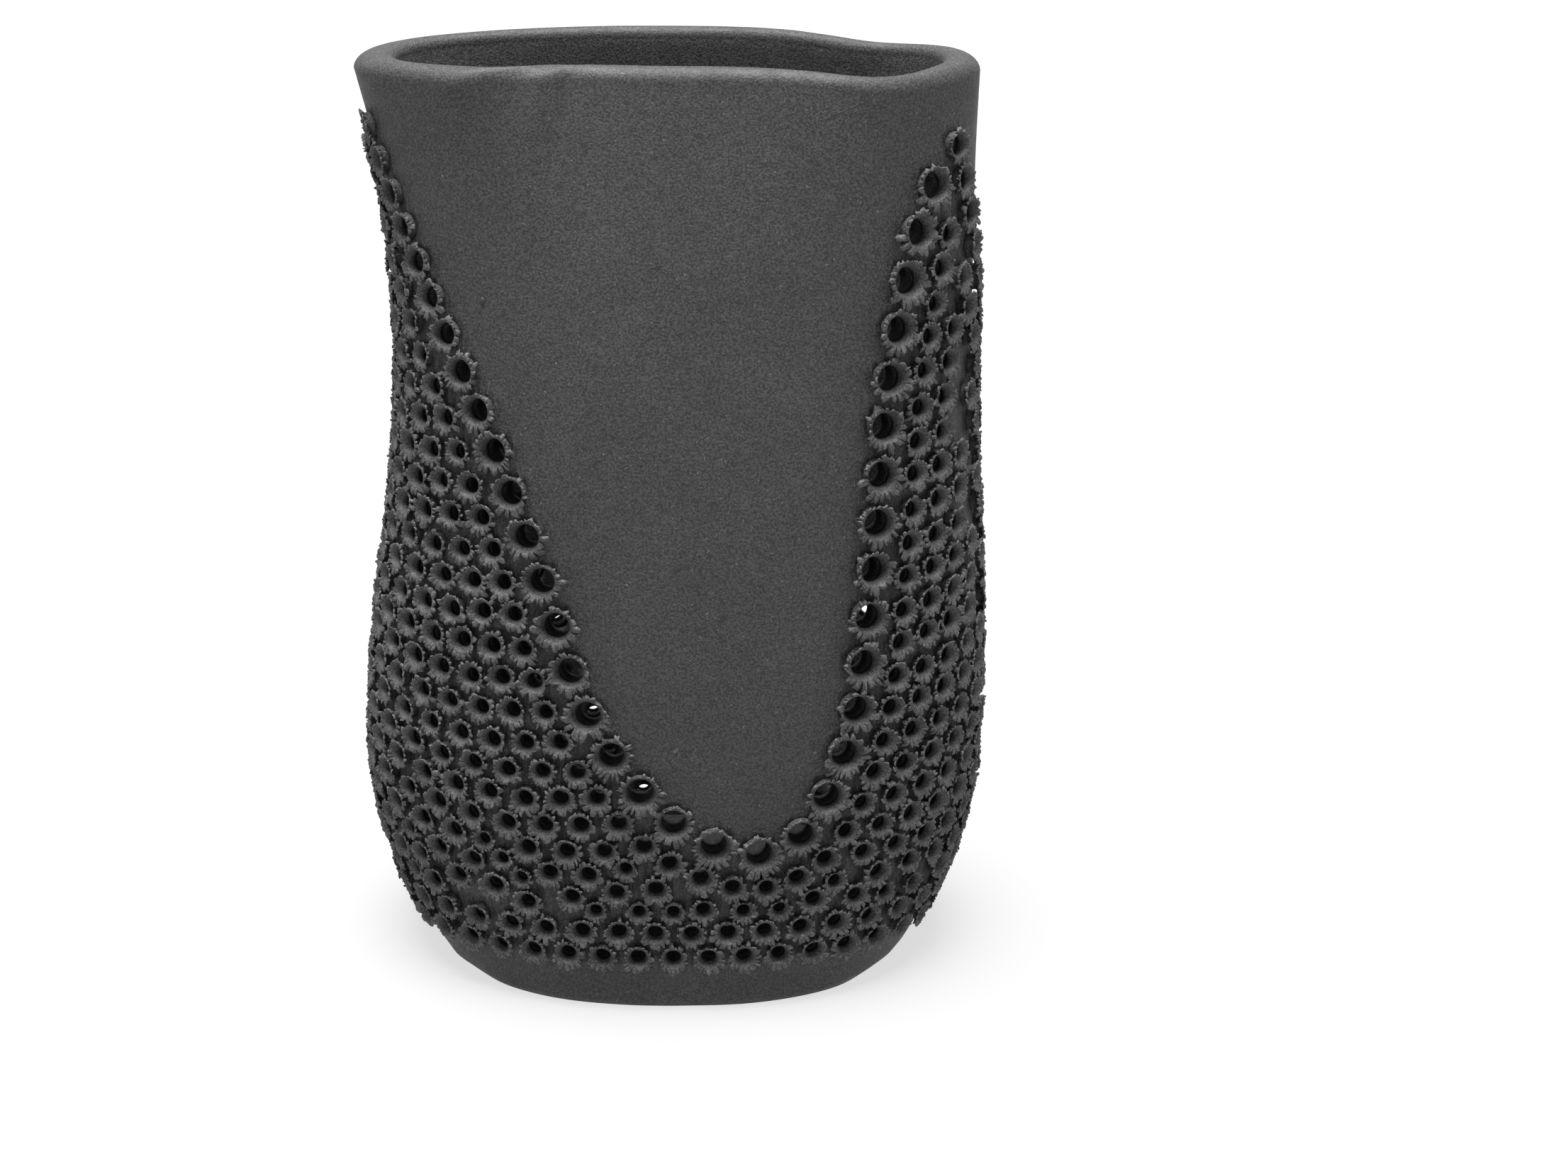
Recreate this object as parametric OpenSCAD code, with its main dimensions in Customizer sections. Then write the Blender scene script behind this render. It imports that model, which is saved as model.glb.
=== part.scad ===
// Pierced black clay vase: a flattened coil-built wall on a slab floor, bare in a
// tongue-shaped panel on each face and covered elsewhere with flared clay collars.
// Units: millimetres.  Origin: middle of the foot, Z up, front towards -Y.

/* [Body] */
// height of the tallest point of the rim
height = 311.5; // [280:0.5:340]
// half width of the foot
foot_half_width = 82.5; // [76:0.5:96]
// half depth of the foot
foot_half_depth = 64.5; // [54:0.5:66]
// half width of the belly, bare clay
belly_half_width = 105; // [98:0.5:112]
// half depth of the belly, bare clay
belly_half_depth = 66; // [58:0.5:72]
// height of the belly
belly_height = 80; // [60:1:100]
// half width of the waist, bare clay
waist_half_width = 95; // [88:0.5:102]
// height of the waist
waist_height = 215; // [170:1:240]
// half width of the rim
rim_half_width = 103; // [92:0.5:106]
// half depth of the rim
rim_half_depth = 44; // [38:0.5:54]
// sideways bow of the waist towards the right
waist_bow = 4.3; // [0:0.1:8]
// how far the rim sits to the left of the foot
rim_shift = 3.3; // [0:0.1:5]
// backward lean of the rim
rim_lean = 8; // [0:0.5:12]
// squareness of the plan outline (2 is an ellipse)
plan_exponent = 2.25; // [2:0.05:3]
// squareness of the foot outline
foot_exponent = 2.4; // [2:0.05:3]

/* [Wall] */
// wall thickness
wall = 9.5; // [7:0.5:12]
// floor slab thickness
floor_thickness = 11; // [8:0.5:16]
// extra thickness of the rim at its left end
rim_end_left = 6; // [0:0.5:7]
// extra thickness of the rim at its right end
rim_end_right = 4; // [0:0.5:7]
// how much lower the rim is at the front than at the back
rim_drop = 2.4; // [0:0.2:6]
// dip of the rim right of the middle, front and back
rim_dip = 2.8; // [0:0.2:6]
// depth of the pinch in the front rim, left of the middle
rim_pinch = 8; // [0:0.5:9]
// how far the middle of the front rim is set back
rim_set_back = 4.6; // [0:0.2:6]
// depth of the swell in the front rim, right of the middle
rim_swell = 6; // [0:0.5:8]

/* [Collars along the panel edges] */
// lip radius of an edge collar
edge_lip = 7.4; // [6:0.1:7.5]
// hole radius of an edge collar
edge_hole = 4.2; // [3:0.1:4.6]
// how far an edge collar stands off the wall
edge_stand = 4; // [2.5:0.1:6]
// spacing of the edge collars
edge_pitch = 15.5; // [15:0.5:18]

/* [Collars of the field] */
// lip radius of a field collar
field_lip = 5; // [4:0.1:5.2]
// hole radius of a field collar
field_hole = 2.5; // [1.5:0.1:3]
// how far a field collar stands off the wall
field_stand = 3.3; // [2:0.1:5]
// spacing of the field collars along a row
field_pitch = 11.1; // [10.6:0.1:14]
// spacing of the rows
row_pitch = 10.3; // [9.5:0.1:13]
// distance of the first row from the edge collars
first_row = 12.6; // [10:0.1:16]
// height of the lowest collars
lowest_collar = 20; // [14:0.5:30]
// rows of collars on each face
rows = 10; // [4:1:12]
// spacing of the collars in the two lowest rows
foot_pitch = 11.7; // [11:0.1:14]

/* [Hidden] */
wall_colour = [0.29, 0.29, 0.3];
edge_colour = [0.25, 0.25, 0.26];
field_colour = [0.22, 0.22, 0.23];
stem_wall = 0.7;      // clay left round a hole
stem_depth = 5;       // how deep a collar's stem sits in its bore
around = 48;          // facets round the wall
lip_play = 0.1;       // least gap between two lips
top_of_field = 276;   // no field collar is set higher than this
bore_play = 0.05;     // between a stem and its bore
tilt = 6;             // most that a collar leans off the wall, up or down
swing = 8;            // the same, sideways

function clamp01(t) = min(1, max(0, t));
function ease(t) = let (c = clamp01(t)) c * c * (3 - 2 * c);
function spow(v, e) = sign(v) * pow(abs(v), e);
function blend(a, b, t) = a + (b - a) * t;

// how far a height is below the belly, and above the waist, from 0 to 1
function below_belly(z) = clamp01(1 - z / belly_height);
function above_waist(z) = clamp01((z - waist_height) / (height - waist_height));

// half width, half depth, centre and squareness of the plan outline at a height
foot_curve = 2.2;
depth_curve = 1.35;
bow_start = 50;
function half_w(z) =
    z < belly_height
    ? blend(belly_half_width, foot_half_width, pow(below_belly(z), foot_curve))
    : z < waist_height
    ? blend(belly_half_width, waist_half_width, ease((z - belly_height) / (waist_height - belly_height)))
    : blend(waist_half_width, rim_half_width, pow(above_waist(z), 3));
function half_d(z) =
    z < belly_height
    ? blend(belly_half_depth, foot_half_depth, pow(below_belly(z), foot_curve))
    : blend(belly_half_depth, rim_half_depth,
            pow(clamp01((z - belly_height) / (height - belly_height)), depth_curve));
function mid_x(z) =
    z < waist_height
    ? waist_bow * ease((z - bow_start) / (waist_height - bow_start - 10))
    : blend(waist_bow, -rim_shift, pow(above_waist(z), 2));
function mid_y(z) = rim_lean * pow(clamp01(z / height), 2);

function squareness(z) = blend(plan_exponent, foot_exponent, below_belly(z));

// where the front rim is pinched, set back and swollen: middle and width of each
pinch_at = [-32, 18];
set_back_at = [8, 26];
swell_at = [60, 15];
dent_start = 190;
function bump(x, at) = exp(-pow((x - at[0]) / at[1], 2));
function dent(x, z) =
    pow(clamp01((z - dent_start) / (height - dent_start)), 1.5)
    * (rim_pinch * bump(x, pinch_at) + rim_set_back * bump(x, set_back_at) - rim_swell * bump(x, swell_at));

// a point of the wall, set in by d from the outside; the rim is thicker at its ends
inner_square = 0.35;
function skin(a, z, d = 0) =
    let (t = d / wall * pow(above_waist(z), 2),
         e = 2 / (squareness(z) + inner_square * t),
         end = t * (rim_end_left + rim_end_right) / 2,
         x = mid_x(z) + t * (rim_end_left - rim_end_right) / 2 + (half_w(z) - d - end) * spow(cos(a), e),
         y = mid_y(z) + (half_d(z) - d) * spow(sin(a), e))
    [x, y + max(0, -sin(a)) * dent(x, z), z];
function normal_at(a, z) =
    let (u = skin(a + 2, z) - skin(a - 2, z), v = skin(a, z + 2) - skin(a, z - 2), n = cross(u, v))
    n / norm(n);
dip_at = [72, 24];
middle_at = [-10, 75];
rim_sag = 1.6;
function rim_z(a) =
    let (x = skin(a, height).x)
    height - rim_drop * (1 - sin(a)) / 2 - rim_dip * bump(x, dip_at) - rim_sag * (1 - bump(x, middle_at));

// ---- wall surface as rings of points ----
turn = [for (i = [0 : around - 1]) 360 * i / around];
outer_levels = [0, 0.02, 0.05, 0.1, 0.16, 0.23, 0.32, 0.41, 0.5, 0.6, 0.7, 0.8, 0.9, 1];
inner_levels = [1, 0.88, 0.75, 0.6, 0.45, 0.32, 0.2, 0.1, 0];
lip_steps = [22.5 : 22.5 : 157.5];
lip_square = 0.8;
inner_foot = floor_thickness + 1;
rings = concat(
    [for (t = outer_levels) [for (a = turn) skin(a, t * (rim_z(a) - wall / 2))]],
    [for (b = lip_steps) [for (a = turn)
        let (z = rim_z(a) - wall / 2, p = skin(a, z, wall / 2 * (1 - spow(cos(b), lip_square))))
        [p.x, p.y, z + wall / 2 * pow(sin(b), lip_square)]]],
    [for (t = inner_levels) [for (a = turn)
        skin(a, inner_foot + t * (rim_z(a) - wall / 2 - inner_foot), wall)]],
    [[for (a = turn) let (p = skin(a, inner_foot, wall)) [p.x, p.y, 0]]]);
nr = len(rings);

module wall_shell() {
    polyhedron(
        points = [for (r = rings) for (p = r) p],
        faces = [for (k = [0 : nr - 1]) for (i = [0 : around - 1])
            let (j = (i + 1) % around, m = (k + 1) % nr)
            for (t = [[k * around + i, m * around + i, m * around + j],
                      [k * around + i, m * around + j, k * around + j]]) t],
        convexity = 10);
}

// ---- the developed wall: distance round it (at mid height) against height ----
ref_z = 150;
step_a = 3;
function arc_step(a) = norm(skin(a + step_a, ref_z) - skin(a, ref_z));
ref_arc = [for (a = -90, s = 0; a <= 270; s = s + arc_step(a), a = a + step_a) [s, a]];
girth = ref_arc[len(ref_arc) - 1][0];
function turn_at(s) = lookup(s < 0 ? s + girth : s >= girth ? s - girth : s, ref_arc);
function seat(s, z) = skin(turn_at(s), z);

// a collar is [distance round, height, size, seat]
function collar_at(s, z, size = 1) = [s, z, size, seat(s, z)];
function gap(p, q) = norm(p[3] - q[3]);
function nearest(p, list) = min([for (q = list) gap(p, q)]);

// edges of the two bare panels, from the left end of each to the right
front_edge = [[-117, 287], [-93, 242], [-65, 192], [-45, 150], [-25, 102], [4, 67], [34, 60],
              [53, 92], [62, 155], [69, 218], [82, 265], [98, 283]];
back_edge = [[98, 283], [112, 250], [134, 205], [160, 155], [188, 105], [222, 70], [252, 59],
             [280, 74], [302, 112], [322, 160], [345, 208], [375, 255], [girth - 117, 287]];

// a smooth curve through those points, stepped finely
function knot(e, i) = i < 0 ? 2 * e[0] - e[1] : i >= len(e) ? 2 * e[len(e) - 1] - e[len(e) - 2] : e[i];
function spline(a, b, c, d, t) =
    0.5 * (2 * b + (c - a) * t + (2 * a - 5 * b + 4 * c - d) * t * t + (3 * b - a - 3 * c + d) * t * t * t);
function curve(e) = concat(
    [for (i = [0 : len(e) - 2]) for (t = [0 : 0.1 : 0.95])
        spline(knot(e, i - 1), knot(e, i), knot(e, i + 1), knot(e, i + 2), t)], [e[len(e) - 1]]);
// the same curve moved out from its panel, by a distance measured on the vase itself
function stretch(p, v) = norm(seat(p.x + 12 * v.x, p.y + 12 * v.y) - seat(p.x, p.y)) / 12;
function side(v) = [v.y, -v.x] / norm(v);
function moved(c, d) = [for (i = [0 : len(c) - 1])
    let (v = side(c[min(i + 1, len(c) - 1)] - c[max(i - 1, 0)])) c[i] + d / stretch(c[i], v) * v];
function run(c) =
    let (p = [for (q = c) seat(q.x, q.y)])
    [for (i = 0, s = 0; i < len(p); s = s + norm(p[min(i + 1, len(p) - 1)] - p[i]), i = i + 1) s];
function along(c, s, x) =
    let (xs = [for (i = [0 : len(c) - 1]) [s[i], c[i].x]], ys = [for (i = [0 : len(c) - 1]) [s[i], c[i].y]])
    [lookup(x, xs), lookup(x, ys)];
function scatter(k) = let (v = sin(k * 77.7 + 13) * 4375.85) v - floor(v);

// edge collars are smaller near the left end of a panel
function edge_size(x) = 0.75 + 0.25 * ease(x / 180);
function edge_stops(x, end) =
    x > end - 0.8 * edge_pitch ? [] : concat([x], edge_stops(x + edge_pitch * edge_size(x), end));
function edge_collars(e) =
    let (c = curve(e), s = run(c))
    [for (x = edge_stops(0, s[len(s) - 1]))
        let (p = along(c, s, x)) collar_at(p.x, p.y, edge_size(x) * (0.96 + 0.05 * scatter(x)))];
edge_gap = 12.6;      // between the middles of two edge collars, at least
edge_f = edge_collars(front_edge);
edge_b = [for (c = edge_collars(back_edge)) if (nearest(c, edge_f) > edge_gap) c];

// one row of collars, moved out from its own edge and kept clear of the other edge
edge_clear = first_row - 0.2;
function in_field(q) = q.y > lowest_collar + ring_pitch + 5 && q.y < top_of_field;
function row(e, k, own, other) =
    let (d = first_row + row_pitch * (k - 1), c = moved(curve(e), d), s = run(c), end = s[len(s) - 1])
    [for (n = [0 : floor(end / field_pitch)])
        let (x = (n + (k % 2) / 2 + 0.06 * (scatter(n + 31 * k) - 0.5)) * field_pitch,
             p = along(c, s, x),
             q = collar_at(p.x, p.y + 0.7 * (scatter(n + 57 * k) - 0.5), 0.94 + 0.1 * scatter(n + 7 * k)))
        if (x <= end && in_field(q) && nearest(q, own) > edge_clear - 0.8
            && nearest(q, other) > max(d - 10, edge_clear)) q];

// the two lowest rows run level, all round the foot, one staggered on the other
ring_pitch = 9.4;
function level(z) = [for (s = [0 : girth / 240 : girth]) [s, z]];
foot_run = run(level(lowest_collar));
foot_length = foot_run[len(foot_run) - 1];
foot_count = floor(foot_length / foot_pitch);
foot_collars = [for (k = [0, 1]) for (n = [0 : foot_count - 1])
    let (p = along(level(0), foot_run, foot_length * (n + k / 2) / foot_count))
    collar_at(p.x, lowest_collar + ring_pitch * k + 0.4 * scatter(n + 11 * k),
              0.93 + 0.08 * scatter(n + 5 + k))];

// rows are set in turn from the front and the back, and a collar too close to one
// already there is left out
function touches(p, q) = gap(p, q) < field_lip * (p.z + q.z) + lip_play;
function clear_of(p, list) = len([for (q = list) if (touches(p, q)) 1]) == 0;
function settle(cand, done, i = 0, kept = []) =
    i >= len(cand) ? kept
    : clear_of(cand[i], concat(kept, done)) ? settle(cand, done, i + 1, concat(kept, [cand[i]]))
    : settle(cand, done, i + 1, kept);
function flat(l) = [for (a = l) for (b = a) b];
function build(k, fr, bk) =
    k > rows ? [fr, bk]
    : let (done = concat(foot_collars, flat(concat(fr, bk))),
           f = settle(row(front_edge, k, edge_f, edge_b), done),
           b = settle(row(back_edge, k, edge_b, edge_f), concat(done, f)))
    build(k + 1, concat(fr, [f]), concat(bk, [b]));
all_rows = build(1, [], []);

// gaps that the rows leave, filled over a patch of the wall
field_f = flat(all_rows[0]);
field_b = flat(all_rows[1]);
full_size = 0.92;     // with candidates this far apart
full_step = 3;
small_size = 0.78;
small_step = 2;
edges = concat(edge_f, edge_b);
function fill(s0, s1, z0, z1, step, size, set) =
    let (others = [for (q = set) if (q.y > z0 - edge_clear && q.y < z1 + edge_clear) q],
         edge_room = edge_clear - field_lip * (full_size - size))
    settle([for (z = [z0 : step : z1]) for (s = [s0 : step : s1])
        let (q = collar_at(s, z, size + 0.06 * scatter(s + z)))
        if (nearest(q, edges) > edge_room) q], others);
rows_set = concat(foot_collars, field_f, field_b);
above_rings = lowest_collar + ring_pitch;
foot_band = [above_rings + 6, above_rings + 37];
foot_gaps = fill(0, girth, foot_band[0], foot_band[1], full_step, full_size, rows_set);
left_seam = fill(-155, -95, 45, 110, full_step, full_size, concat(rows_set, foot_gaps));
right_seam = fill(96, 134, 45, 150, full_step, full_size, concat(rows_set, foot_gaps));
set_full = concat(rows_set, foot_gaps, left_seam, right_seam);
small_gaps = fill(0, girth, foot_band[0], foot_band[1], small_step, small_size, set_full);
filled = concat(foot_gaps, left_seam, right_seam, small_gaps);

// ---- collars ----
function collar_turn(c, n) =
    [0, acos(n.z) + tilt * (scatter(c.x) - 0.5), atan2(n.y, n.x) + swing * (scatter(c.y) - 0.5)];
module set_at(c) {
    a = turn_at(c.x);
    translate(skin(a, c.y)) rotate(collar_turn(c, normal_at(a, c.y))) children();
}
module collar(lip, hole, stand) {
    r = hole + stem_wall;
    rotate_extrude($fn = 48)
        polygon([[hole, -stem_depth], [r, -stem_depth], [r, 0.2 * stand], [lip - 0.2, 0.75 * stand],
                 [lip, stand], [hole + 0.5 * (lip - hole), 0.66 * stand], [hole, 0.1 * stand]]);
}
module edge_row(list) {
    for (c = list) set_at(c) collar(edge_lip * c.z, edge_hole * c.z, edge_stand * c.z);
}
module field_row(list) {
    for (c = list) set_at(c) collar(field_lip * c.z, field_hole * c.z, field_stand * c.z);
}
module bores(list, hole) {
    for (c = list) set_at(c) translate([0, 0, -wall - 4])
        cylinder(r = hole * c.z + stem_wall + bore_play, h = wall + 6, $fn = 48);
}

module vase_wall() {
    color(wall_colour) difference() {
        wall_shell();
        bores(edge_f, edge_hole);
        bores(edge_b, edge_hole);
        bores(field_f, field_hole);
        bores(field_b, field_hole);
        bores(filled, field_hole);
        bores(foot_collars, field_hole);
    }
}
module floor_slab() {
    color(wall_colour) linear_extrude(height = floor_thickness)
        polygon([for (a = turn) let (p = skin(a, inner_foot, wall)) [p.x, p.y]]);
}

module edge_front() { color(edge_colour) edge_row(edge_f); }
module edge_back() { color(edge_colour) edge_row(edge_b); }
module foot_row() { color(field_colour) field_row(foot_collars); }
module fill_row() { color(field_colour) field_row(filled); }
module front_row(k) { color(field_colour) field_row(all_rows[0][k - 1]); }
module back_row(k) { color(field_colour) field_row(all_rows[1][k - 1]); }

vase_wall();
floor_slab();
edge_front();
edge_back();
foot_row();
fill_row();
for (k = [1 : rows]) {
    front_row(k);
    back_row(k);
}
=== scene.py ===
"""Looks for the pierced black clay vase: a smooth pierced wall, torn flared collars,
matt clay, a pale floor and soft studio light.  Metres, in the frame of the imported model."""

import math

import bmesh
import bpy
import numpy as np
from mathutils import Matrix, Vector
from mathutils.bvhtree import BVHTree
from mathutils.geometry import delaunay_2d_cdt
from mathutils.kdtree import KDTree


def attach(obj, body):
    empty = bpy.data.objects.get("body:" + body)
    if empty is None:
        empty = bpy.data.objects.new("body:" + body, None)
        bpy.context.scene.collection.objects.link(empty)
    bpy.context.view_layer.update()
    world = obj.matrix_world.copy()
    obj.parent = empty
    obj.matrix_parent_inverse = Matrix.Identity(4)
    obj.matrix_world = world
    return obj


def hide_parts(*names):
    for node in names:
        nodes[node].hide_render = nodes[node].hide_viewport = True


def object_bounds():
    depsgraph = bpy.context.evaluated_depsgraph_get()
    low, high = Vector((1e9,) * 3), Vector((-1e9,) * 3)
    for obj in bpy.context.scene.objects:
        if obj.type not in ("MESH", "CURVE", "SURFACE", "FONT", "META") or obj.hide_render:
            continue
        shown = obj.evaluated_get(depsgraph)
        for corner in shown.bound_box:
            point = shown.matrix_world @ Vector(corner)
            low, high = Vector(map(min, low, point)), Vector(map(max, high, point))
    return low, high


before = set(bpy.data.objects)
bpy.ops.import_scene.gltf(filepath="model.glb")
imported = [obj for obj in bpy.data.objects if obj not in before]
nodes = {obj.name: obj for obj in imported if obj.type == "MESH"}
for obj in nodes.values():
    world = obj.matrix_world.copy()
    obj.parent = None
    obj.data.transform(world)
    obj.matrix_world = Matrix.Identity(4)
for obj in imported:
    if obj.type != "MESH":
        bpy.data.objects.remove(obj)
cad_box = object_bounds()
rng = np.random.default_rng(11)
MM = 0.001
FULL_TURN = 2 * math.pi
HEIGHT = cad_box[1].z
HALF_WIDTH = (cad_box[1].x - cad_box[0].x) / 2
UP = Vector((0.0, 0.0, 1.0))
DOWN = Vector((0.0, 0.0, -1.0))


def unit(vector):
    return vector / np.linalg.norm(vector)


def make_mesh(name, co, faces, attributes=()):
    """A smooth mesh object with the named numbers on its points."""
    mesh = bpy.data.meshes.new(name)
    mesh.from_pydata(np.asarray(co).tolist(), [], [[int(i) for i in f] for f in faces])
    for key, values in attributes:
        layer = mesh.attributes.new(key, "FLOAT", "POINT")
        layer.data.foreach_set("value", np.asarray(values, np.float32))
    mesh.update()
    obj = bpy.data.objects.new(name, mesh)
    bpy.context.scene.collection.objects.link(obj)
    mesh.shade_smooth()
    return obj


# ---------------------------------------------------------------- collars, as the frame has them
STEM_DEPTH = 5.0 * MM       # how deep a collar's stem sits in the wall
HEAD_MARGIN = 0.2 * MM      # keeps the points halfway along a collar with its head
AXIS_ROUNDS = 3             # times that the axis is found again from the two ends


def points_by_solid(obj):
    """Points of a CAD node, and a label for each that only its own solid's points share."""
    mesh = obj.data
    co = np.empty(len(mesh.vertices) * 3)
    mesh.vertices.foreach_get("co", co)
    co = co.reshape(-1, 3)
    ends = np.empty(len(mesh.edges) * 2, int)
    mesh.edges.foreach_get("vertices", ends)
    _, same = np.unique(np.round(co, 6), axis=0, return_inverse=True)
    same = same.reshape(-1)
    edges = same[ends.reshape(-1, 2)]
    label = np.arange(same.max() + 1)
    while True:
        low = np.minimum(label[edges[:, 0]], label[edges[:, 1]])
        new = label.copy()
        np.minimum.at(new, edges[:, 0], low)
        np.minimum.at(new, edges[:, 1], low)
        new = new[new]
        if (new == label).all():
            return co, label[same]
        label = new


def collars_of(name):
    """Each collar of a node: its seat on the wall, its axis, and its lip, hole and stand."""
    co, label = points_by_solid(nodes[name])
    found = []
    for solid in np.unique(label):
        points = np.unique(np.round(co[label == solid], 6), axis=0)
        middle = points.mean(axis=0)
        spread, ways = np.linalg.eigh(np.cov((points - middle).T))
        out = ways[:, 0] if spread[1] - spread[0] > spread[2] - spread[1] else ways[:, 2]
        out = out * np.sign(out @ (middle * [1.0, 1.0, 0.0]))
        for _ in range(AXIS_ROUNDS):
            along = (points - middle) @ out
            inner = along < (along.min() + along.max()) / 2 - HEAD_MARGIN
            tail = points[inner].mean(axis=0)
            head = points[~inner].mean(axis=0)
            out = unit(head - tail)
        seat = tail + out * STEM_DEPTH
        offset = points - seat
        height = offset @ out
        away = np.linalg.norm(offset - np.outer(height, out), axis=1)
        found.append({"seat": seat, "axis": out,
                      "lip": away.max(), "hole": away.min(), "stand": height.max()})
    return found


edge_names = ["edge_front", "edge_back"]
field_names = sorted(n for n in nodes if n.endswith("_row") or "_row_" in n)
collars = {name: collars_of(name) for name in edge_names + field_names}
all_collars = [c for group in collars.values() for c in group]

# ---------------------------------------------------------------- the wall, sampled from the frame
TURNS, LEVELS = 720, 156        # samples round the wall and up it
FAR_RADIUS = 0.3                # well outside the wall
LEAST_RADIUS = 0.02             # a lower reading is of the far wall, met through a hole
RIM_SEARCH = 5                  # millimetres to each side of the middle of the lip
DROP = 0.05                     # how far above the rim a falling ray starts
THINNEST = 7 * MM               # a thinner or more slanted reading of the wall is a hole's edge
LEAST_FACING = 0.4
TURN_BLUR = 6.0                 # spread of the blur round the wall, in samples
TOP_BLUR = 4.0                  # the same for the height of the rim
LIP_ZONE = 12 * MM              # the rounded lip lies within this of the top
LIP_MARGIN = 0.3 * MM
LIP_SAMPLE = -4                 # a level just under the lip

wall_tree = BVHTree.FromObject(nodes["vase_wall"], bpy.context.evaluated_depsgraph_get())
angles = np.arange(TURNS) * FULL_TURN / TURNS
levels = np.linspace(0.4 * MM, HEIGHT - 5.0 * MM, LEVELS)
level_blur = np.interp(levels, [0.0, 25 * MM, 60 * MM], [4 * MM, 6 * MM, 12 * MM])
thickest = np.interp(levels, [0.6 * HEIGHT, 0.9 * HEIGHT], [12 * MM, 19 * MM])


def cast_skin(start_radius, inward):
    """Radius of one skin of the wall for every turn and level, and how squarely the ray meets it."""
    radius = np.full((TURNS, LEVELS), np.nan)
    facing = np.zeros((TURNS, LEVELS))
    for i, a in enumerate(angles):
        way = Vector((math.cos(a), math.sin(a), 0.0))
        for j, z in enumerate(levels):
            start = way * start_radius + UP * z
            hit, normal, _, _ = wall_tree.ray_cast(start, -way if inward else way)
            if hit is not None and hit.dot(way) > LEAST_RADIUS:
                radius[i, j] = hit.dot(way)
                facing[i, j] = abs(normal.dot(way))
    return radius, facing


def rim_heights(radius):
    """Height of the top of the lip for every turn, looked for on both sides of a radius."""
    top = np.zeros(TURNS)
    for i, a in enumerate(angles):
        for r in radius[i] + np.arange(-RIM_SEARCH, RIM_SEARCH + 1) * MM:
            start = Vector((math.cos(a) * r, math.sin(a) * r, HEIGHT + DROP))
            hit, _, _, _ = wall_tree.ray_cast(start, DOWN)
            if hit is not None:
                top[i] = max(top[i], hit.z)
    return top


def round_blur(values, spread):
    """Gaussian blur round the wall; spread is in samples."""
    shift = np.minimum(np.arange(TURNS), TURNS - np.arange(TURNS))
    kernel = np.exp(-0.5 * (shift / spread) ** 2)
    gain = np.fft.fft(kernel / kernel.sum()).reshape((TURNS,) + (1,) * (values.ndim - 1))
    return np.real(np.fft.ifft(np.fft.fft(values, axis=0) * gain, axis=0))


def smooth_skin(radius, good):
    """The faceted skin as one smooth surface over its holes: a line fitted up the wall at each level."""
    weight = np.maximum(round_blur(good.astype(float), TURN_BLUR), 0.0)
    value = round_blur(np.where(good, radius, 0.0), TURN_BLUR)
    step = levels[None, :] - levels[:, None]
    near = np.exp(-0.5 * (step / level_blur[:, None]) ** 2)
    s0, s1, s2 = (weight @ (near * step ** k).T for k in range(3))
    t0, t1 = (value @ (near * step ** k).T for k in range(2))
    return (s2 * t0 - s1 * t1) / (s0 * s2 - s1 * s1)


outer_raw, outer_face = cast_skin(FAR_RADIUS, True)
inner_raw, inner_face = cast_skin(0.0, False)
thick = (outer_raw - inner_raw) * outer_face
sound = (thick > THINNEST) & (thick < thickest[None, :])
sound &= (outer_face > LEAST_FACING) & (inner_face > LEAST_FACING)
WALL = float(np.nanmedian(thick[sound]))
outer_raw = np.nan_to_num(outer_raw)
inner_raw = np.nan_to_num(inner_raw)
under_lip = levels[None, :] < HEIGHT - LIP_ZONE
lip_middle = (smooth_skin(outer_raw, sound & under_lip) + smooth_skin(inner_raw, sound & under_lip)) / 2
rim_top = round_blur(rim_heights(lip_middle[:, LIP_SAMPLE]), TOP_BLUR)
lip_start = rim_top - WALL / 2
under_lip = levels[None, :] < lip_start[:, None] - LIP_MARGIN
outer_skin = smooth_skin(outer_raw, sound & under_lip)
inner_skin = smooth_skin(inner_raw, sound & under_lip)


def turn_samples(theta):
    """The samples on both sides of an angle, and how far it is from the first to the second."""
    x = (theta / FULL_TURN % 1.0) * TURNS
    i = x.astype(int) % TURNS
    return i, (i + 1) % TURNS, x - np.floor(x)


def look_up(table, theta, z):
    """Bilinear value of a turn-by-level table."""
    i, k, fx = turn_samples(theta)
    y = np.clip((z - levels[0]) / (levels[1] - levels[0]), 0, LEVELS - 1.001)
    j = y.astype(int)
    fy = y - j
    return ((table[i, j] * (1 - fy) + table[i, j + 1] * fy) * (1 - fx)
            + (table[k, j] * (1 - fy) + table[k, j + 1] * fy) * fx)


def around(values, theta):
    """Linear value of a turn-by-turn list."""
    i, k, f = turn_samples(theta)
    return values[i] * (1 - f) + values[k] * f


# ---------------------------------------------------------------- the potter's surface
FOOT_ROUND = 0.9 * MM                       # radius of the foot's outer edge
DENT_DEPTH = 0.35 * MM
DENT_BIAS = 0.6                             # sets most of the dents into the clay
INSIDE_DENTS = 1.5                          # the inside is rougher by this much
DENTS_ROUND = (3, 4, 5, 7, 8, 10, 12, 14)   # dents in one turn of the wall
dent_waves = [(rng.uniform(0, FULL_TURN), rng.uniform(0, FULL_TURN), n, rng.uniform(8, 42))
              for n in DENTS_ROUND]


def hand_marks(theta, z):
    """Slow dents left by the potter's hands, most of them into the clay."""
    total = sum(np.cos(n * theta + a) * np.cos(z * k + b) for a, b, n, k in dent_waves)
    return DENT_DEPTH * (total / len(dent_waves) - DENT_BIAS)


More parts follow.
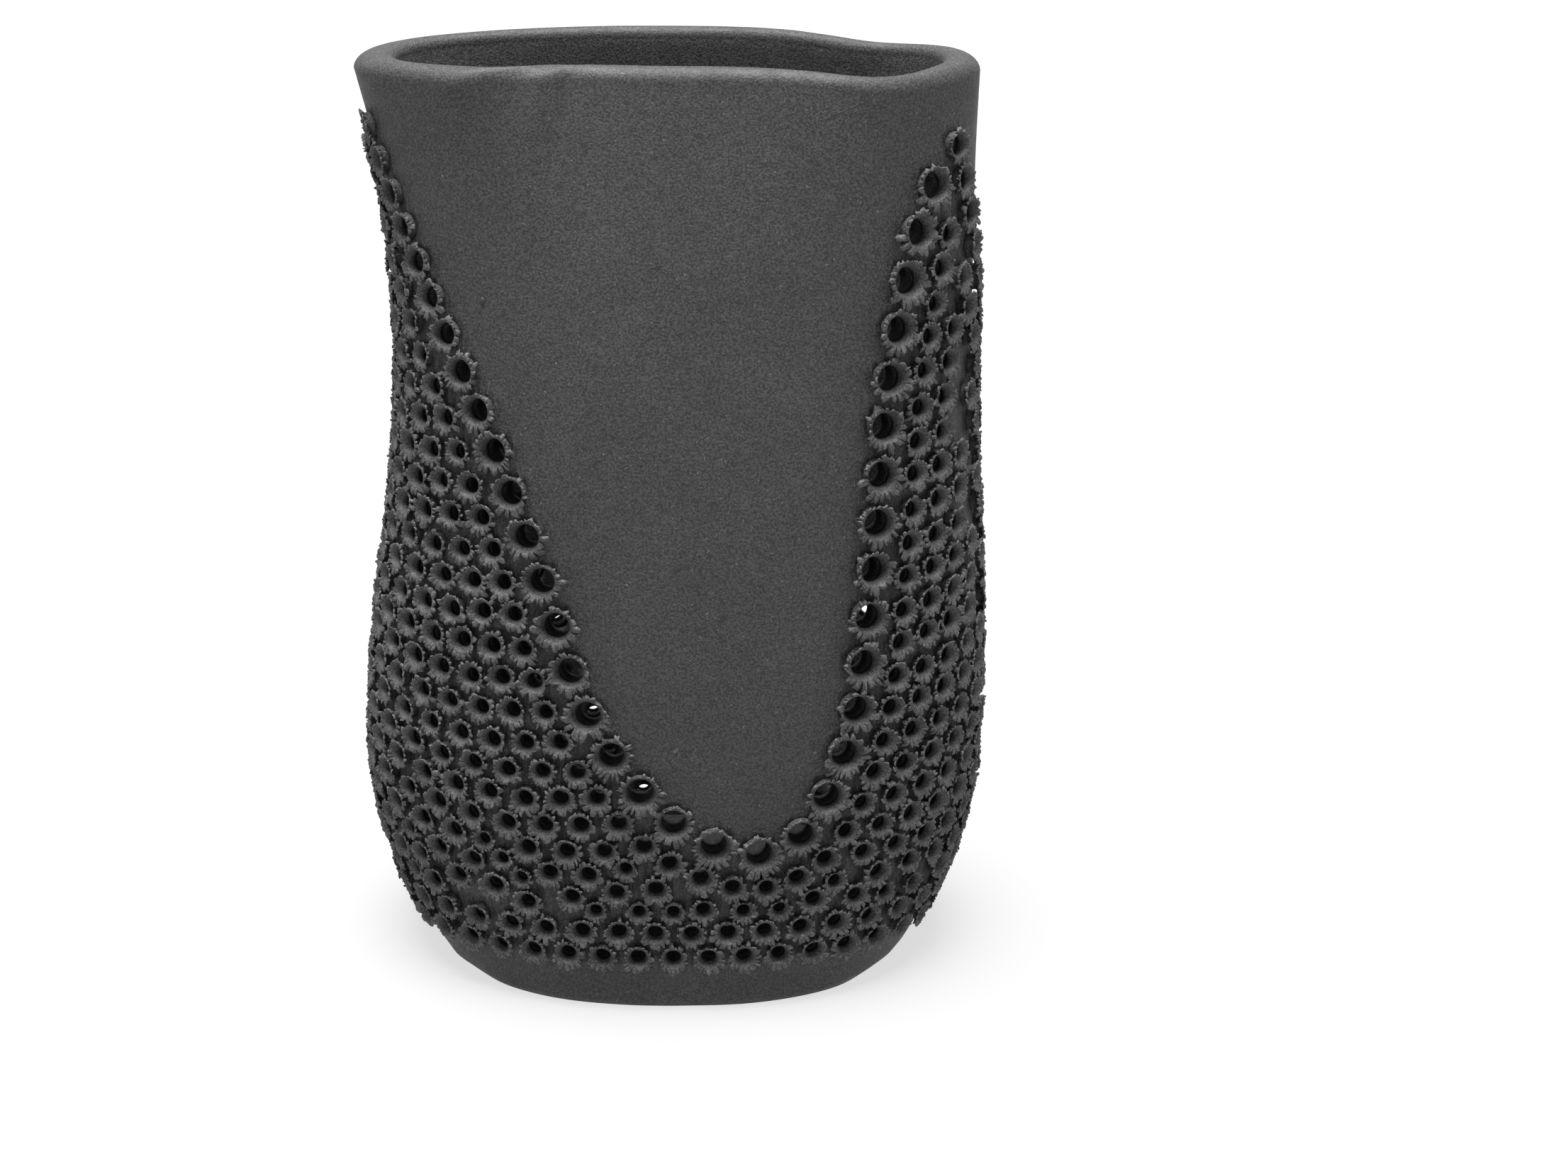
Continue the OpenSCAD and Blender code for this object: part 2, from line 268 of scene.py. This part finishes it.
def skin_point(side, theta, z):
    """Points of the outer (side 0) or inner (side 1) skin."""
    r = look_up(outer_skin if side == 0 else inner_skin, theta, z)
    if side:
        r = r - INSIDE_DENTS * hand_marks(theta + 1.0, z)
    else:
        r = r + hand_marks(theta, z)
        foot = np.clip(1 - z / FOOT_ROUND, 0, 1)
        r = r - FOOT_ROUND * (1 - np.sqrt(1 - foot ** 2))
    return np.stack([r * np.cos(theta), r * np.sin(theta), z], axis=-1)


# ---------------------------------------------------------------- the wall as a mesh with real holes
OUTER_LIP, INNER_LIP = 1.1, 0.7     # roundness of the two sides of the lip; below 1 is squarer
LIP_STEPS = 14
PALER_FROM, PALER_OVER = 0.6, 0.3   # the inside is painted paler above this share of the height: painted light in the mouth
WORKED_REACH = 5 * MM               # clay this near a collar's seat is smeared and painted lighter, less so up to twice as far
HOLE_POINTS = 20
HOLE_PLAY = 0.25 * MM               # how much wider the wall's hole is than the collar's
HOLE_CLEAR = 1.3 * MM               # no grid point is nearer to a hole
RIM_POINTS = 288
BORE_ROUNDS = 6                     # steps that bring a bore's ring onto the curved skin
GRID = 2.7 * MM                     # spacing of the grid points
ROW_RATIO = 0.87                    # row spacing of a grid of near-equal triangles

mid = look_up(outer_skin, angles, np.full(TURNS, HEIGHT * 0.45))
outline = np.stack([mid * np.cos(angles), mid * np.sin(angles)], axis=-1)
arc = np.concatenate([[0.0], np.cumsum(np.linalg.norm(np.roll(outline, -1, axis=0) - outline, axis=1))])
GIRTH = arc[-1]
RHO = GIRTH / FULL_TURN
TALL = float(lip_start.max())


def to_chart(theta, z):
    """Distance round the wall, and height as if the lip were level."""
    u = np.interp(theta % FULL_TURN, np.append(angles, FULL_TURN), arc)
    return u, z / around(lip_start, theta) * TALL


def from_chart(u, v):
    theta = np.interp(u % GIRTH, arc, np.append(angles, FULL_TURN))
    return theta, v / TALL * around(lip_start, theta)


def flat(u, v):
    """The wall laid out on a plane without tearing or shearing it: rim in the middle, foot outside."""
    r = np.exp((TALL - v) / RHO)
    return r * np.cos(u / RHO), r * np.sin(u / RHO)


def from_flat(x, y):
    """The chart's place of a point of the plane."""
    return np.arctan2(y, x) * RHO % GIRTH, np.clip(TALL - np.log(np.hypot(x, y)) * RHO, 0, TALL)


def hole_loop(collar, side):
    """Where a collar's bore meets one skin, in turns and heights."""
    axis = Vector(collar["axis"])
    across = axis.cross(UP).normalized()
    high = axis.cross(across)
    t = np.arange(HOLE_POINTS) * FULL_TURN / HOLE_POINTS
    radius = collar["hole"] + HOLE_PLAY
    ring = collar["seat"] + radius * (np.outer(np.cos(t), across) + np.outer(np.sin(t), high))
    if side:
        ring = ring - collar["axis"] * WALL
    for _ in range(BORE_ROUNDS):
        theta = np.arctan2(ring[:, 1], ring[:, 0])
        skin = skin_point(side, theta, ring[:, 2])
        gap = np.linalg.norm(ring[:, :2], axis=1) - np.linalg.norm(skin[:, :2], axis=1)
        ring = ring - np.outer(gap, collar["axis"])
    return np.arctan2(ring[:, 1], ring[:, 0]), ring[:, 2]


def grid_rows(loops):
    """Rows of evenly spaced chart points that keep clear of every hole."""
    turns = [np.angle(np.exp(1j * u / RHO).mean()) * RHO % GIRTH for u, _ in loops]
    centres = np.array([(turn, v.mean()) for turn, (_, v) in zip(turns, loops)])
    reach = np.array([c["hole"] for c in all_collars]) + HOLE_CLEAR
    cols = int(GIRTH / GRID)
    rows = int(TALL / (GRID * ROW_RATIO))
    for j in range(1, rows):
        u = (np.arange(cols) + (j % 2) / 2) * GIRTH / cols
        v = np.full(cols, TALL * j / rows)
        du = np.abs(u[:, None] - centres[None, :, 0])
        du = np.minimum(du, GIRTH - du)
        clear = (np.hypot(du, v[:, None] - centres[None, :, 1]) > reach[None, :]).all(axis=1)
        yield u[clear], v[clear]


def skin_mesh(side):
    """Points and triangles of one skin, its hole loops and its rim and foot loops."""
    loops = [to_chart(*hole_loop(c, side)) for c in all_collars]
    edge_u = np.arange(RIM_POINTS) * GIRTH / RIM_POINTS
    rim = (edge_u, np.full(RIM_POINTS, TALL))
    foot = (edge_u, np.zeros(RIM_POINTS))
    us, vs = zip(rim, foot, *loops, *grid_rows(loops))
    x, y = flat(np.concatenate(us), np.concatenate(vs))
    first = 2 * RIM_POINTS
    hole_ids = [np.arange(HOLE_POINTS) + first + k * HOLE_POINTS for k in range(len(loops))]
    closed = [list(range(RIM_POINTS))] + [ids.tolist() for ids in hole_ids]
    foot_edges = [(RIM_POINTS + k, RIM_POINTS + (k + 1) % RIM_POINTS) for k in range(RIM_POINTS)]
    made, _, tris, came, _, inside = delaunay_2d_cdt(
        [Vector((a, b)) for a, b in zip(x, y)], foot_edges, closed, 0, 1e-7)
    theta, z = from_chart(*from_flat(*np.array([(p.x, p.y) for p in made]).T))
    where = np.full(len(x), -1)
    for new, olds in enumerate(came):
        for old in olds:
            where[old] = new
    tris = [t for t, hole in zip(tris, inside) if not hole]
    holes = [where[ids] for ids in hole_ids]
    return skin_point(side, theta, z), tris, holes, where[:RIM_POINTS], where[RIM_POINTS:first]


def lip_curves(outer, inner):
    """Rings of points over the lip, between the tops of the two skins."""
    theta, _ = from_chart(np.arange(RIM_POINTS) * GIRTH / RIM_POINTS, np.full(RIM_POINTS, TALL))
    rise = around(rim_top - lip_start, theta)
    rings = []
    for s in range(1, LIP_STEPS):
        b = math.pi * s / LIP_STEPS
        power = OUTER_LIP if s < LIP_STEPS / 2 else INNER_LIP
        across = math.copysign(abs(math.cos(b)) ** power, math.cos(b))
        ring = outer + (inner - outer) * (1 - across) / 2
        ring[:, 2] += rise * math.sin(b) ** power
        rings.append(ring)
    return rings


def band(a, b):
    """Quads between two loops of as many points."""
    count = len(a)
    return [[a[k], a[(k + 1) % count], b[(k + 1) % count], b[k]] for k in range(count)]


def build_wall():
    """Both skins, joined through every hole, over the lip and under the foot."""
    out_co, out_tris, out_holes, out_rim, out_foot = skin_mesh(0)
    in_co, in_tris, in_holes, in_rim, in_foot = skin_mesh(1)
    base = len(out_co)
    lip_base = base + len(in_co)
    co = np.concatenate([out_co, in_co] + lip_curves(out_co[out_rim], in_co[in_rim]))
    faces = [list(t) for t in out_tris] + [[base + i for i in reversed(t)] for t in in_tris]
    for a, b in zip(out_holes, in_holes):
        faces += band(a, base + b)
    rings = [lip_base + k * RIM_POINTS + np.arange(RIM_POINTS) for k in range(LIP_STEPS - 1)]
    rings = [out_rim] + rings + [base + in_rim]
    for a, b in zip(rings, rings[1:]):
        faces += band(a, b)
    faces += band(base + in_foot, out_foot)
    # painted light: the upper inside of the wall is made paler, standing in for light that falls into the
    # mouth
    painted_inside_light = np.zeros(len(co))
    painted_inside_light[base:lip_base] = np.clip((in_co[:, 2] / HEIGHT - PALER_FROM) / PALER_OVER, 0, 1)
    seats = KDTree(len(all_collars))
    for k, c in enumerate(all_collars):
        seats.insert(c["seat"], k)
    seats.balance()
    away = np.array([seats.find(p)[2] for p in co])
    worked_and_painted_fill = np.clip(2.0 - away / WORKED_REACH, 0, 1)
    return make_mesh("pierced_wall", co, faces, [("wear_and_painted_light", painted_inside_light), ("worked_and_painted_fill", worked_and_painted_fill)])


# ---------------------------------------------------------------- collars with torn lips
def torn_lip(lip, stand, petals, samples, droop):
    """The torn edge of one collar, point by point: each petal starts with the cut before it."""
    width = rng.uniform(0.6, 1.4, petals)
    share = width / width.sum() * FULL_TURN
    starts = np.concatenate([[0.0], np.cumsum(share)])[:-1]
    length = rng.uniform(0.86, 1.07, petals)
    flopped = rng.random(petals) < droop
    length[flopped] += rng.uniform(0.06, 0.16, flopped.sum())
    length += 0.1 * np.sin(starts + share / 2)
    lift = rng.uniform(-0.18, 0.0, petals) * stand
    curl = np.where(flopped, rng.uniform(0.25, 0.55, petals), rng.uniform(0.0, 0.18, petals)) * stand
    notch = rng.uniform(0.64, 0.8, petals) * lip
    lean = rng.uniform(-0.3, 0.3, petals)
    which = np.repeat(np.arange(petals), samples)
    is_cut = np.tile(np.arange(samples) == 0, petals)
    place = np.tile(np.concatenate([[0.0], np.linspace(0.14, 0.86, samples - 1)]), petals)
    beside_cut = np.abs(place - 0.5) > 0.3
    ragged = rng.uniform(0.86, 1.05, len(which)) - 0.05 * beside_cut
    fold = rng.uniform(-0.16, 0.06, len(which)) * stand
    root = np.where(is_cut, np.minimum(notch[which], notch[which - 1]), notch[which])
    return {"angle": starts[which] + place * share[which],
            "bend": lean[which] * share[which] * ~is_cut,
            "is_cut": is_cut,
            "root": root,
            "tip": np.where(is_cut, root, lip * length[which] * ragged),
            "up": (lift[which] + fold) * ~is_cut,
            "over": curl[which] * ~is_cut}


def collar_mesh(collar, petals, samples, reach, droop):
    """One collar as rings of points: a deep funnel from the hole, over the torn lip, down to the neck."""
    lip, hole, stand = collar["lip"] * reach, collar["hole"], collar["stand"]
    torn = torn_lip(lip, stand, petals, samples, droop)
    is_cut, root, tip, over = torn["is_cut"], torn["root"], torn["tip"], torn["over"]
    base = 0.72 * lip
    thick = 0.2 * stand * ~is_cut
    neck = hole + 0.95 * MM

    def cut_or(at_cut, on_petal):
        return np.where(is_cut, at_cut, on_petal)

    # radius, height, and how much of the lift, the sideways bend and the tip wear and painted highlight a
    # ring takes
    rings = [
        (hole * 0.96, -1.6 * MM, 0, 0, 0),
        (hole, 0.02 * stand, 0, 0, 0),
        (hole + 0.22 * (base - hole), 0.32 * stand, 0, 0, 0),
        (hole + 0.58 * (base - hole), 0.62 * stand, 0, 0, 0),
        (cut_or(root * 0.97, base), cut_or(0.72, 0.82) * stand, 0.3, 0.3, 0.15),
        (cut_or(root * 0.99, base + 0.55 * (tip - base)), cut_or(0.70, 0.97) * stand - 0.25 * over,
         0.8, 0.8, 0.6),
        (cut_or(root, tip), cut_or(0.66, 0.99) * stand - over, 1.0, 1.0, 1.0),
        (cut_or(root, tip * 0.985), cut_or(0.60, 0.99) * stand - over - 0.6 * thick, 1.0, 1.0, 0.6),
        (cut_or(root * 0.97, base + 0.4 * (tip - base)), cut_or(0.50, 0.86) * stand - 0.2 * over - thick,
         0.6, 0.5, 0.0),
        (neck + 0.4 * (base - neck), 0.34 * stand, 0, 0, 0),
        (neck, 0.08 * stand, 0, 0, 0),
        (neck + 0.25 * MM, -0.9 * MM, 0, 0, 0),
    ]
    axis = Vector(collar["axis"])
    across = axis.cross(UP).normalized()
    own_axes = np.array([across, axis.cross(across), axis])
    co, wear_and_painted_light = [], []
    for r, h, lifted, bent, tip_wear_and_highlight in rings:
        a = torn["angle"] + torn["bend"] * bent
        local = np.stack([r * np.cos(a), r * np.sin(a), h + torn["up"] * lifted], axis=-1)
        co.append(local @ own_axes + collar["seat"])
        # petal tips paler: partly wear, partly a painted highlight where the tips catch the light
        wear_and_painted_light.append(np.where(is_cut, 0.0, tip_wear_and_highlight))
    return np.concatenate(co), np.concatenate(wear_and_painted_light), len(rings), len(is_cut)


def collar_piece(name, group, count, samples, reach, droop):
    """All the collars of one node as one object; count is the range of petals on a collar."""
    co, wear_and_painted_light, faces, start = [], [], [], 0
    for collar in group:
        petals = int(rng.integers(count[0], count[1] + 1))
        own_reach = reach * rng.uniform(0.96, 1.04)
        points, tip_wear_and_highlight, rings, turn = collar_mesh(collar, petals, samples, own_reach, droop)
        i = np.arange(turn)
        n = (i + 1) % turn
        for k in range(rings):
            m = (k + 1) % rings
            faces.append(np.stack([k * turn + i, m * turn + i, m * turn + n, k * turn + n], axis=-1) + start)
        co.append(points)
        wear_and_painted_light.append(tip_wear_and_highlight)
        start += len(points)
    faces = np.concatenate(faces).tolist()
    return make_mesh(name, np.concatenate(co), faces, [("wear_and_painted_light", np.concatenate(wear_and_painted_light))])


# ---------------------------------------------------------------- a nub and a scraped line on the front panel
FRONT_SAMPLES = 1441
FRONT_REACH = 4             # samples to each side that give the wall's direction


def front_at(x, z):
    """Point of the front face at a place across and up, and the way it faces."""
    theta = np.linspace(math.pi, FULL_TURN, FRONT_SAMPLES)
    points = skin_point(0, theta, np.full(len(theta), z))
    i = int(np.abs(points[:, 0] - x).argmin())
    way = points[i + FRONT_REACH] - points[i - FRONT_REACH]
    return points[i], unit(np.array([way[1], -way[0], 0.0]))


def nub(x, z, size):
    """A crumb of clay stuck to the wall: a lumpy ball, flattened by a third towards it."""
    spot, out = front_at(x, z)
    sphere = bmesh.new()
    bmesh.ops.create_icosphere(sphere, subdivisions=3, radius=size)
    co = np.array([v.co for v in sphere.verts])
    faces = [[v.index for v in f.verts] for f in sphere.faces]
    sphere.free()
    bumps = sum(np.cos(co @ rng.normal(0, 1.6 / size, 3) + k) for k in range(4))
    co = co * (1 + 0.09 * bumps)[:, None]
    co = co - np.outer(co @ out, out) * 0.35
    return make_mesh("clay_nub", co + spot, faces)


def scraped_line(start, end, width):
    """A broken raised line left by a tool."""
    steps, sides = 90, 6
    co, faces = [], []
    wander = np.cumsum(rng.normal(0, 0.05 * MM, steps))
    for k in range(steps):
        t = k / (steps - 1)
        x = start[0] + (end[0] - start[0]) * t
        z = start[1] + (end[1] - start[1]) * t + wander[k]
        spot, out = front_at(x, z)
        r = width * rng.uniform(0.25, 1.0) * math.sin(math.pi * t) ** 0.3
        for j in range(sides):
            b = FULL_TURN * j / sides
            co.append(spot + out * (0.5 * r * math.cos(b) + 0.1 * r) + np.array(UP) * r * math.sin(b))
    for k in range(steps - 1):
        for j in range(sides):
            n = (j + 1) % sides
            faces.append([k * sides + j, (k + 1) * sides + j, (k + 1) * sides + n, k * sides + n])
    faces.append(list(range(sides)))
    faces.append(list(range((steps - 1) * sides, steps * sides))[::-1])
    return make_mesh("scraped_line", co, faces)


# ---------------------------------------------------------------- clay
CLOUD, MOTTLE, GRIT, SPECK, DRAG = 26.0, 190.0, 1500.0, 1300.0, 620.0     # noise scales, per metre


def link(tree, a, b):
    tree.links.new(a, b)


def noise(tree, coord, scale, detail, rough=0.55):
    node = tree.nodes.new("ShaderNodeTexNoise")
    node.inputs["Scale"].default_value = scale
    node.inputs["Detail"].default_value = detail
    node.inputs["Roughness"].default_value = rough
    link(tree, coord, node.inputs["Vector"])
    return node.outputs["Fac"]


def ramp(tree, value, low, high, a, b):
    """Value from low to high becomes a to b, and stays there outside."""
    node = tree.nodes.new("ShaderNodeMapRange")
    node.interpolation_type = "SMOOTHSTEP"
    for socket, number in zip(("From Min", "From Max", "To Min", "To Max"), (low, high, a, b)):
        node.inputs[socket].default_value = number
    link(tree, value, node.inputs["Value"])
    return node.outputs["Result"]


def times(tree, a, b):
    node = tree.nodes.new("ShaderNodeMath")
    node.operation = "MULTIPLY"
    link(tree, a, node.inputs[0])
    link(tree, b, node.inputs[1])
    return node.outputs[0]


def attribute(tree, name):
    node = tree.nodes.new("ShaderNodeAttribute")
    node.attribute_name = name
    return node.outputs["Fac"]


def bumped(tree, height, depth, normal=None):
    node = tree.nodes.new("ShaderNodeBump")
    node.inputs["Distance"].default_value = depth
    link(tree, height, node.inputs["Height"])
    if normal is not None:
        link(tree, normal, node.inputs["Normal"])
    return node.outputs["Normal"]


def smeared(tree, where, tone, normal):
    """Tone and normal with the upright drag marks of worked clay near the collars, and painted fill light
    that lightens the shaded wall near them.
    """
    stretch = tree.nodes.new("ShaderNodeMapping")
    stretch.inputs["Scale"].default_value = (1.0, 1.0, 0.14)
    link(tree, where, stretch.inputs["Vector"])
    drag = noise(tree, stretch.outputs["Vector"], DRAG, 3.0)
    worked_and_painted_fill = attribute(tree, "worked_and_painted_fill")
    smear = times(tree, ramp(tree, drag, 0.48, 0.56, 0.0, 1.0), worked_and_painted_fill)
    tone = times(tree, tone, ramp(tree, smear, 0.0, 1.0, 1.0, 0.5))
    # painted light: up to a quarter lighter near the collars, where the wall lies in their shade
    tone = times(tree, tone, ramp(tree, worked_and_painted_fill, 0.0, 1.0, 1.0, 1.25))
    return tone, bumped(tree, times(tree, drag, worked_and_painted_fill), 0.9 * MM, normal)


def clay(name, shade, rough, wear_and_painted_light=0.8, drag_marks=False):
    """Matt fired clay: mottled black-brown, pebbled by its grit, paler where it is marked: petal tips that
    are partly worn and partly given a painted highlight, and a painted lighter upper inside.
    """
    mat = bpy.data.materials.new(name)
    mat.use_nodes = True
    tree = mat.node_tree
    shader = tree.nodes["Principled BSDF"]
    shader.inputs["Specular IOR Level"].default_value = 0.3
    where = tree.nodes.new("ShaderNodeTexCoord").outputs["Object"]
    cloud = noise(tree, where, CLOUD, 3.0)
    mottle = noise(tree, where, MOTTLE, 4.0, 0.6)
    grit = noise(tree, where, GRIT, 1.0, 0.5)
    speck = noise(tree, where, SPECK, 0.0)
    tone = times(tree, ramp(tree, cloud, 0.3, 0.7, 0.93, 1.07), ramp(tree, mottle, 0.3, 0.7, 0.95, 1.05))
    tone = times(tree, tone, ramp(tree, grit, 0.3, 0.7, 0.55, 1.45))
    tone = times(tree, tone, ramp(tree, speck, 0.76, 0.82, 1.0, 2.2))
    # paler by the attribute: partly real wear on petal tips, partly painted highlight and painted light
    # inside the mouth
    tone = times(tree, tone, ramp(tree, attribute(tree, "wear_and_painted_light"), 0.0, 1.0, 1.0, 1.0 + wear_and_painted_light))
    normal = bumped(tree, cloud, 0.8 * MM)
    normal = bumped(tree, mottle, 0.1 * MM, normal)
    normal = bumped(tree, grit, 0.17 * MM, normal)
    if drag_marks:
        tone, normal = smeared(tree, where, tone, normal)
    colour = tree.nodes.new("ShaderNodeVectorMath")
    colour.operation = "SCALE"
    colour.inputs[0].default_value = shade
    link(tree, tone, colour.inputs["Scale"])
    link(tree, colour.outputs[0], shader.inputs["Base Color"])
    link(tree, ramp(tree, mottle, 0.3, 0.7, rough - 0.06, rough + 0.08), shader.inputs["Roughness"])
    link(tree, normal, shader.inputs["Normal"])
    return mat


# painted light: the collars get a lighter copy of the wall's clay, standing in for the light they catch
COLLAR_TONE_PAINTED_LIGHTER = (0.0540, 0.0533, 0.0530)
wall_clay = clay("wall_clay", (0.0388, 0.0385, 0.0384), 0.62, wear_and_painted_light=1.2, drag_marks=True)
field_clay = clay("field_clay", COLLAR_TONE_PAINTED_LIGHTER, 0.6, wear_and_painted_light=0.5)
edge_clay = clay("edge_clay", COLLAR_TONE_PAINTED_LIGHTER, 0.6, wear_and_painted_light=0.45)
# painted shade: the floor inside the vase gets a darker copy of the clay, standing in for the shade deep in
# the hollow
floor_clay = clay("floor_clay", (0.0260, 0.0254, 0.0250), 0.65)

# ---------------------------------------------------------------- the pieces
wall = build_wall()
wall.data.materials.append(wall_clay)
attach(wall, "root")
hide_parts("vase_wall")
marks = [nub(-0.55 * HALF_WIDTH, 0.762 * HEIGHT, 1.2 * MM),
         scraped_line((0.36 * HALF_WIDTH, 0.937 * HEIGHT), (0.56 * HALF_WIDTH, 0.962 * HEIGHT), 0.22 * MM)]
for piece in marks:
    piece.data.materials.append(wall_clay)
    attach(piece, "root")
for name, group in collars.items():
    if name in edge_names:
        piece = collar_piece("torn_" + name, group, count=(16, 21), samples=5, reach=1.09, droop=0.16)
        piece.data.materials.append(edge_clay)
    else:
        piece = collar_piece("torn_" + name, group, count=(14, 18), samples=4, reach=1.15, droop=0.16)
        piece.data.materials.append(field_clay)
    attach(piece, "root")
    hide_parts(name)
floor_mesh = nodes["floor_slab"].data
floor_mesh.materials.clear()
floor_mesh.materials.append(floor_clay)

# ---------------------------------------------------------------- table, light and camera
TABLE = 60.0                        # half the width of the table, whose far edge is the horizon
SUN_POWER, SUN_SPREAD = 10.0, 38.0  # a broad lamp almost straight overhead
SUN_WAY = (0.05, 0.01, -1.0)
ROOM_LIGHT = 0.5
PAPER, PAPER_GLOW = 0.09, 0.68      # dark but glowing, so that it looks white and throws up little light
EYE = (0.0, -0.733, 0.414)
LOOK_DOWN = 19.5                    # degrees
LENS, SHIFT_ACROSS, SHIFT_UP = 52.39, 0.0705, -0.049

table = make_mesh("table", [(-TABLE, -TABLE, 0), (TABLE, -TABLE, 0), (TABLE, TABLE, 0), (-TABLE, TABLE, 0)],
                  [[0, 1, 2, 3]])
paper = bpy.data.materials.new("white_paper")
paper.use_nodes = True
paper_shader = paper.node_tree.nodes["Principled BSDF"]
paper_shader.inputs["Base Color"].default_value = (PAPER, PAPER, PAPER, 1)
paper_shader.inputs["Roughness"].default_value = 0.9
paper_shader.inputs["Emission Color"].default_value = (1, 1, 1, 1)
paper_shader.inputs["Emission Strength"].default_value = PAPER_GLOW
table.data.materials.append(paper)

overhead = bpy.data.lights.new("overhead", "SUN")
overhead.energy = SUN_POWER
overhead.angle = math.radians(SUN_SPREAD)
overhead_obj = bpy.data.objects.new("overhead", overhead)
overhead_obj.rotation_euler = Vector(SUN_WAY).to_track_quat("-Z", "Y").to_euler()
bpy.context.scene.collection.objects.link(overhead_obj)
world = bpy.data.worlds.new("studio")
world.use_nodes = True
world.node_tree.nodes["Background"].inputs["Color"].default_value = (1, 1, 1, 1)
world.node_tree.nodes["Background"].inputs["Strength"].default_value = ROOM_LIGHT
bpy.context.scene.world = world
bpy.context.scene.view_settings.view_transform = "Standard"

camera_data = bpy.data.cameras.new("camera")
camera_data.lens = LENS
camera_data.sensor_width = 36.0
camera_data.shift_x = SHIFT_ACROSS
camera_data.shift_y = SHIFT_UP
camera = bpy.data.objects.new("camera", camera_data)
camera.location = EYE
camera.rotation_euler = (math.radians(90 - LOOK_DOWN), 0.0, 0.0)
bpy.context.scene.collection.objects.link(camera)
bpy.context.scene.camera = camera
